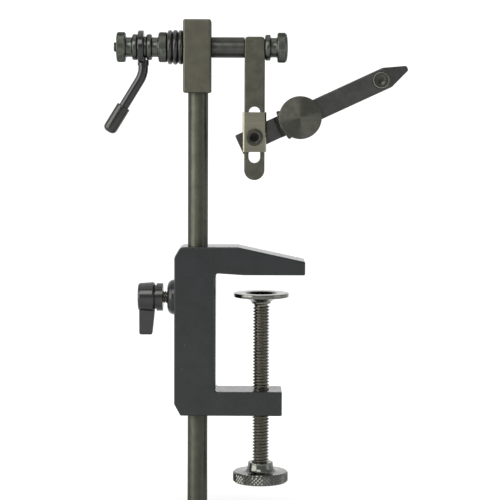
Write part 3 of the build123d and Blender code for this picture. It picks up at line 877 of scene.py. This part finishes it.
jaw_line = Vector(joints["jaw_open"]["pos_m"]) - Vector(joints["jaw_knob_turn"]["pos_m"])
jaw_along = Vector((jaw_line.x, 0, jaw_line.z)).normalized()
jaw_out = Vector((0, -1, 0))
jaw_across = jaw_out.cross(jaw_along)


def jaw_place(joint):
    """A joint's place in the picture plane of the jaws."""
    place = joints[joint]["pos_m"]
    return place[0], place[2]


def make_jaw_ring():
    """Rubber ring stretched round both jaws, a little thinner on its straight runs."""
    back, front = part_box("rear_jaw")[1].y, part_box("front_jaw")[0].y
    half_depth = (back - front) / mm / 2 + jaw_ring_gap + jaw_ring_section
    half_width = jaw_width / 2 + jaw_ring_gap + jaw_ring_section
    wide, deep = half_width - jaw_ring_bend, half_depth - jaw_ring_bend
    corners = [(wide, deep), (-wide, deep), (-wide, -deep), (wide, -deep)]
    path = []
    for index, corner in enumerate(corners):
        turn = pi / 2 * index
        for step in range(jaw_ring_bend_steps + 1):
            path.append((*corner, turn + pi / 2 * step / jaw_ring_bend_steps, 1.0))
        ahead = corners[(index + 1) % 4]
        for share in jaw_ring_run_shares:
            place = [here + (there - here) * share for here, there in zip(corner, ahead)]
            path.append((*place, turn + pi / 2, jaw_ring_thin_share))
    verts, faces = [], []
    steps = jaw_ring_section_steps
    for across, out, angle, share in path:
        centre = across + jaw_ring_bend * cos(angle), out + jaw_ring_bend * sin(angle)
        for k in range(steps):
            turn = 2 * pi * k / steps
            reach = jaw_ring_section * share * cos(turn) - jaw_ring_section * (1 - share)
            verts.append(
                (
                    centre[0] + reach * cos(angle),
                    centre[1] + reach * sin(angle),
                    jaw_ring_section * share * sin(turn),
                )
            )
    count = len(path)
    for row in range(count):
        ahead = (row + 1) % count
        for k in range(steps):
            n = (k + 1) % steps
            faces.append(
                (row * steps + k, row * steps + n, ahead * steps + n, ahead * steps + k)
            )
    knob = Vector(joints["jaw_knob_turn"]["pos_m"])
    middle = knob - jaw_along * (jaw_knob_reach - jaw_ring_reach) * mm
    turn = Matrix((jaw_across, jaw_out, jaw_along)).transposed().to_4x4()
    placing = Matrix.Translation((middle.x, 0, middle.z)) @ turn
    replace("jaw_ring", [(verts, faces)], placing, "jaw", "ring_rubber", smooth=60)


make_jaw_ring()

# Jaw knob and socket screws

def make_jaw_knob():
    """Turned disc with a coned face, a knurled rim, a hub and the closing screw."""
    low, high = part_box("jaw_knob")
    x, z = jaw_place("jaw_knob_turn")
    radius = (high.x - low.x) / mm / 2
    length = (high.y - low.y) / mm
    disc_high = length - disc_cone
    disc_low = disc_high - disc_thickness
    hub_low = disc_low - hub_height
    segments = knurl_segments(radius)
    root = jaw_screw_radius - stud_depth
    lower = rings_of(
        soften(
            [
                (root, hub_low),
                (hub_radius, hub_low, hub_edge),
                (hub_radius, disc_low, hub_edge),
                (radius - disc_edge, disc_low),
            ]
        )
    )
    knurl = knurl_rings(radius, disc_low + disc_edge, disc_high - disc_edge, segments)
    face = radius - disc_edge
    upper = [(disc_high, face), (disc_high + disc_land_rise, face - disc_land), (length, 0)]
    grids = [
        ring_grid([(0, 0), (0, root)], segments),
        thread_grid(jaw_screw_radius, stud_depth, stud_pitch, 0, hub_low, segments),
        ring_grid(lower + knurl + upper, segments),
    ]
    replace("jaw_knob", grids, outward(x, high.y, z), "closer", "turned_steel", smooth=26)


make_jaw_knob()


def socket_screw(node, place, body, sizes, thread, turn, look):
    """Socket head screw: straight-knurled head, hexagon socket and a threaded shank."""
    low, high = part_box(node)
    head, head_height, socket, socket_depth, edge = sizes
    radius, depth, pitch = thread
    length = (high.y - low.y) / mm
    foot = length - head_height
    root = radius - depth
    under = [
        (root, foot),
        (head - head_foot_edge, foot),
        (head - head_knurl_depth, foot + head_foot_edge),
    ]
    ridges = teeth(head, head_knurl_depth, head_segments)
    knurl = [(foot + head_knurl_foot, ridges), (length - edge - head_knurl_drop, ridges)]
    top = soften(
        [
            (head - head_band, length - edge - head_band_drop),
            (head - edge, length, edge),
            (socket * socket_mouth_share, length),
        ]
    )
    walls = hex_radii(socket, head_segments)
    inside = [
        (length - socket_mouth_depth, walls),
        (length - socket_depth, walls),
        (length - socket_depth - socket_point_depth, 0),
    ]
    grids = [
        ring_grid([(0, 0), (0, root)], head_segments),
        thread_grid(radius, depth, pitch, 0, foot, head_segments),
        ring_grid(rings_of(under) + knurl + rings_of(top) + inside, head_segments),
    ]
    replace(node, grids, outward(place[0], high.y, place[1], turn), body, "dark_steel", look)


cap_sizes = (cap_head, cap_head_height, cap_socket, cap_socket_depth, cap_edge)
cap_thread = (cap_shank, stud_depth, stud_pitch)
adjust_sizes = (
    adjust_head, adjust_head_height, adjust_socket, adjust_socket_depth, adjust_edge
)
adjust_thread = (adjust_shank, adjust_thread_depth, adjust_pitch)
socket_screw(
    "jaw_clamp_screw",
    jaw_place("jaw_tilt"),
    "carriage",
    cap_sizes,
    cap_thread,
    cap_turn,
    "cap_black",
)
socket_screw(
    "jaw_adjust_screw",
    jaw_place("jaw_open"),
    "jaw",
    adjust_sizes,
    adjust_thread,
    adjust_turn,
    "adjust_black",
)

# Stem lock screw

def make_lock_screw():
    low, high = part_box("stem_lock_screw")
    radius = (high.z - low.z) / mm / 2
    length = (high.x - low.x) / mm
    root = radius - lock_depth
    grids = [
        ring_grid([(0, 0), (0, root)], shaft_segments),
        thread_grid(radius, lock_depth, lock_pitch, 0, length, shaft_segments),
        ring_grid([(length, root), (length, 0)], shaft_segments),
    ]
    placing = along_x(low.x, (low.z + high.z) / 2)
    replace("stem_lock_screw", grids, placing, "lock", "screw_steel")


make_lock_screw()

# Clamp screw, pad and thumbwheel

def make_clamp_screw():
    """Long screw, with a spigot riveted over inside the pad."""
    low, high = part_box("clamp_screw")
    pad_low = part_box("clamp_pad")[0]
    length = (high.z - low.z) / mm
    shoulder = (pad_low.z - low.z) / mm - rivet_gap
    radius = (high.x - low.x) / mm / 2
    root = radius - screw_depth
    rivet = length - rivet_height
    top = rings_of(
        soften(
            [
                (root, shoulder),
                (spigot_radius, shoulder),
                (spigot_radius, rivet),
                (rivet_radius, rivet),
                (rivet_radius, length, rivet_round),
                (0, length),
            ]
        )
    )
    grids = [
        ring_grid([(0, 0), (0, root)], shaft_segments),
        thread_grid(radius, screw_depth, screw_pitch, 0, shoulder, shaft_segments),
        ring_grid(top, shaft_segments),
    ]
    replace("clamp_screw", grids, upright(0, low.z), "screw", "screw_steel")


def make_clamp_pad():
    """Dished pad with a trumpet underside."""
    low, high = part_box("clamp_pad")
    rim = (high.x - low.x) / mm / 2
    height = (high.z - low.z) / mm
    bore = spigot_radius + spigot_gap
    under = height - pad_rim_thickness
    trumpet = []
    for step in range(1, pad_trumpet_steps):
        angle = pi / 2 * step / pad_trumpet_steps
        trumpet.append((rim - (rim - pad_neck) * cos(angle), under * sin(angle)))
    points = soften(
        [(bore, 0), (pad_neck, 0)]
        + trumpet
        + [
            (rim, under, pad_under_round),
            (rim, height, pad_top_round),
            (pad_dish_flare, height, pad_dish_round),
            (pad_dish, pad_web, pad_dish_round),
            (bore, pad_web),
        ]
    )
    grid = ring_grid(rings_of(points), pad_segments, True)
    replace("clamp_pad", [grid], upright(0, low.z), "pad", "gloss_black", "oiled_black", 40)


def make_thumbwheel():
    """Knurled wheel whose hub flares into its top face."""
    low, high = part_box("clamp_thumbwheel")
    rim = (high.x - low.x) / mm / 2
    height = (high.z - low.z) / mm
    segments = knurl_segments(rim, wheel_knurl_pitch)
    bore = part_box("clamp_screw")[1].x / mm + wheel_bore_gap
    knurl_top = wheel_thickness - wheel_edge
    knurl = knurl_rings(
        rim, wheel_edge, knurl_top, segments, wheel_knurl_pitch, wheel_knurl_depth
    )
    flare = []
    for step in range(2, wheel_flare_steps):
        angle = pi / 2 * step / wheel_flare_steps
        flare.append(
            (
                wheel_hub_foot - (wheel_hub_foot - wheel_hub_top) * sin(angle),
                height - (height - wheel_thickness) * cos(angle),
            )
        )
    top = soften(
        [(rim - wheel_edge, wheel_thickness), (wheel_hub_foot, wheel_thickness)]
        + flare
        + [
            (wheel_hub_top, height, wheel_hub_round),
            (bore, height, wheel_bore_round),
            (bore, wheel_floor),
        ]
    )
    rings = [(0, 0), (0, rim - wheel_edge)] + knurl + rings_of(top) + [(wheel_floor, 0)]
    grid = ring_grid(rings, segments)
    placing = upright(0, low.z)
    replace("clamp_thumbwheel", [grid], placing, "screw", "gloss_black", "oiled_black", 24)


make_clamp_screw()
make_clamp_pad()
make_thumbwheel()

# Stage: floor, light, world and camera

def make_sweep():
    """White floor and backdrop in one sheet; the floor keeps the object's real shadow, and its
    glow is lower round the foot, a painted shade there.
    """
    height = cad_box[0][2] - floor_drop
    outline = [
        (-floor_reach, height),
        (backdrop_place, height),
        (backdrop_place, height + backdrop_height),
    ]
    mesh = bpy.data.meshes.new("sweep")
    verts = [(side * floor_reach, y, z) for y, z in outline for side in (-1, 1)]
    mesh.from_pydata(verts, [], [(0, 1, 3, 2), (2, 3, 5, 4)])
    sweep = bpy.data.objects.new("sweep", mesh)
    bpy.context.scene.collection.objects.link(sweep)
    material = bpy.data.materials.new("sweep_white")
    material.use_nodes = True
    tree = material.node_tree
    tree.nodes.clear()
    output = tree.nodes.new("ShaderNodeOutputMaterial")
    diffuse = tree.nodes.new("ShaderNodeBsdfDiffuse")
    diffuse.inputs["Color"].default_value = (sweep_grey, sweep_grey, sweep_grey, 1)
    place = tree.nodes.new("ShaderNodeTexCoord")
    foot = tree.nodes.new("ShaderNodeVectorMath")
    foot.operation = "DISTANCE"
    foot.inputs[1].default_value = (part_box("stem")[0].x, 0, height)
    # Glow that rises away from the foot, so that the floor round the foot has painted shade
    far = tree.nodes.new("ShaderNodeMapRange")
    far.inputs["From Min"].default_value = painted_shade_start
    far.inputs["From Max"].default_value = painted_shade_end
    far.inputs["To Min"].default_value = painted_shade_glow
    far.inputs["To Max"].default_value = glow_far
    shown = tree.nodes.new("ShaderNodeMath")
    shown.operation = "MULTIPLY"
    glow = tree.nodes.new("ShaderNodeEmission")
    total = tree.nodes.new("ShaderNodeAddShader")
    tree.links.new(place.outputs["Object"], foot.inputs[0])
    tree.links.new(foot.outputs["Value"], far.inputs["Value"])
    tree.links.new(far.outputs["Result"], shown.inputs[0])
    tree.links.new(seen_rays(tree), shown.inputs[1])
    tree.links.new(shown.outputs["Value"], glow.inputs["Strength"])
    tree.links.new(diffuse.outputs["BSDF"], total.inputs[0])
    tree.links.new(glow.outputs["Emission"], total.inputs[1])
    tree.links.new(total.outputs["Shader"], output.inputs["Surface"])
    mesh.materials.append(material)


def seen_rays(tree):
    """One for rays that are seen, straight on or in a reflection, and zero for the rest."""
    path = tree.nodes.new("ShaderNodeLightPath")
    seen = path.outputs["Is Camera Ray"]
    for ray in ("Is Glossy Ray", "Is Transmission Ray"):
        either = tree.nodes.new("ShaderNodeMath")
        either.operation = "MAXIMUM"
        tree.links.new(seen, either.inputs[0])
        tree.links.new(path.outputs[ray], either.inputs[1])
        seen = either.outputs["Value"]
    return seen


def make_world():
    world = bpy.data.worlds.new("studio")
    world.use_nodes = True
    bpy.context.scene.world = world
    background = world.node_tree.nodes["Background"]
    background.inputs["Color"].default_value = (1, 1, 1, 1)
    background.inputs["Strength"].default_value = room_level


def add_light(name, place, size, power, colour):
    """A square soft box that faces the middle of the object."""
    data = bpy.data.lights.new(name, "AREA")
    data.size = size
    data.energy = power
    data.color = colour
    light = bpy.data.objects.new(name, data)
    light.location = place
    aim = lamp_aim - Vector(place)
    light.rotation_euler = aim.to_track_quat("-Z", "Y").to_euler()
    bpy.context.scene.collection.objects.link(light)


def make_camera():
    data = bpy.data.cameras.new("camera")
    data.lens = camera_lens
    camera = bpy.data.objects.new("camera", data)
    back = Vector((0, -cos(camera_pitch), sin(camera_pitch)))
    look = Matrix.Rotation(pi / 2 - camera_pitch, 4, "X") @ Matrix.Rotation(camera_roll, 4, "Z")
    camera.matrix_world = Matrix.Translation(camera_target + back * camera_distance) @ look
    bpy.context.scene.collection.objects.link(camera)
    bpy.context.scene.camera = camera


make_sweep()
make_world()
for name, lamp in lamps.items():
    add_light(name, *lamp)
make_camera()
bpy.context.scene.view_settings.view_transform = "Standard"
